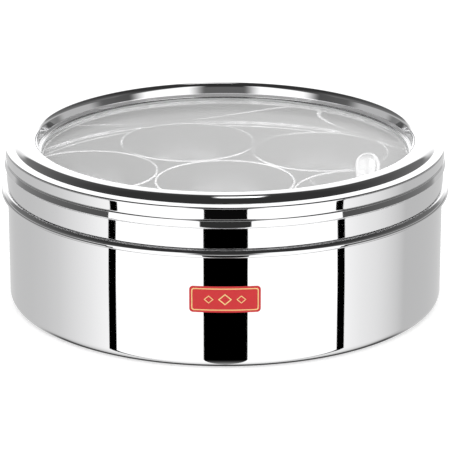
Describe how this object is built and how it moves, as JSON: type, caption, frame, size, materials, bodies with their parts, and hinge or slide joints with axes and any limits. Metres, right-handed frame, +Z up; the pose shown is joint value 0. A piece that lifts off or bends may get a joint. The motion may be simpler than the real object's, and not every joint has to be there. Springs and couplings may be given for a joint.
{
  "type": "spice box",
  "caption": "Round stainless steel spice box with a push-on see-through lid, loose spice cups inside, and a small spoon standing in one of them.",
  "frame": {"origin": "centre of the base, on the surface that the box stands on", "axes": "+Z up along the box's axis, -Y towards the label on the front, +X to the right when the label faces the viewer"},
  "size_m": [0.2048, 0.2048, 0.0764],
  "materials": {
    "steel_box": "mirror polished stainless steel with a fine turned grain",
    "steel_lid": "mirror polished stainless steel",
    "steel_cup": "polished stainless steel",
    "steel_spoon": "polished stainless steel",
    "clear_plastic": "clear and smooth",
    "seal": "translucent",
    "label": "red printed film"
  },
  "bodies": {
    "box": {"container_body": "steel_box", "front_label": "label"},
    "lid": {"lid_ring": "steel_lid", "lid_window": "clear_plastic", "window_seal": "seal", "lid_retaining_ring": "steel_lid"},
    "cup_centre": {"cup_centre": "steel_cup"},
    "cup_back": {"cup_back": "steel_cup"},
    "cup_left": {"cup_left": "steel_cup"},
    "cup_front_left": {"cup_front_left": "steel_cup"},
    "cup_front": {"cup_front": "steel_cup"},
    "cup_right": {"cup_right": "steel_cup"},
    "cup_back_right": {"cup_back_right": "steel_cup"},
    "spoon": {"spoon": "steel_spoon"}
  },
  "joints": [
    {"name": "lid_lift", "type": "slide", "parent": "box", "child": "lid", "axis": [0, 0, 1], "range_m": [0, 0.2]},
    {"name": "cup_centre_lift", "type": "slide", "parent": "box", "child": "cup_centre", "axis": [0, 0, 1], "range_m": [0, 0.09]},
    {"name": "cup_back_lift", "type": "slide", "parent": "box", "child": "cup_back", "axis": [0, 0, 1], "range_m": [0, 0.09]},
    {"name": "cup_left_lift", "type": "slide", "parent": "box", "child": "cup_left", "axis": [0, 0, 1], "range_m": [0, 0.09]},
    {"name": "cup_front_left_lift", "type": "slide", "parent": "box", "child": "cup_front_left", "axis": [0, 0, 1], "range_m": [0, 0.09]},
    {"name": "cup_front_lift", "type": "slide", "parent": "box", "child": "cup_front", "axis": [0, 0, 1], "range_m": [0, 0.09]},
    {"name": "cup_right_lift", "type": "slide", "parent": "box", "child": "cup_right", "axis": [0, 0, 1], "range_m": [0, 0.09]},
    {"name": "cup_back_right_lift", "type": "slide", "parent": "box", "child": "cup_back_right", "axis": [0, 0, 1], "range_m": [0, 0.09]},
    {"name": "spoon_lift", "type": "slide", "parent": "box", "child": "spoon", "axis": [0, 0, 1], "range_m": [0, 0.16]}
  ],
  "couplings": [
    {"joint": "cup_centre_lift", "follows": "lid_lift", "ratio": 0.45},
    {"joint": "cup_back_lift", "follows": "lid_lift", "ratio": 0.45},
    {"joint": "cup_left_lift", "follows": "lid_lift", "ratio": 0.45},
    {"joint": "cup_front_left_lift", "follows": "lid_lift", "ratio": 0.45},
    {"joint": "cup_front_lift", "follows": "lid_lift", "ratio": 0.45},
    {"joint": "cup_right_lift", "follows": "lid_lift", "ratio": 0.45},
    {"joint": "cup_back_right_lift", "follows": "lid_lift", "ratio": 0.45},
    {"joint": "spoon_lift", "follows": "lid_lift", "ratio": 0.8}
  ]
}
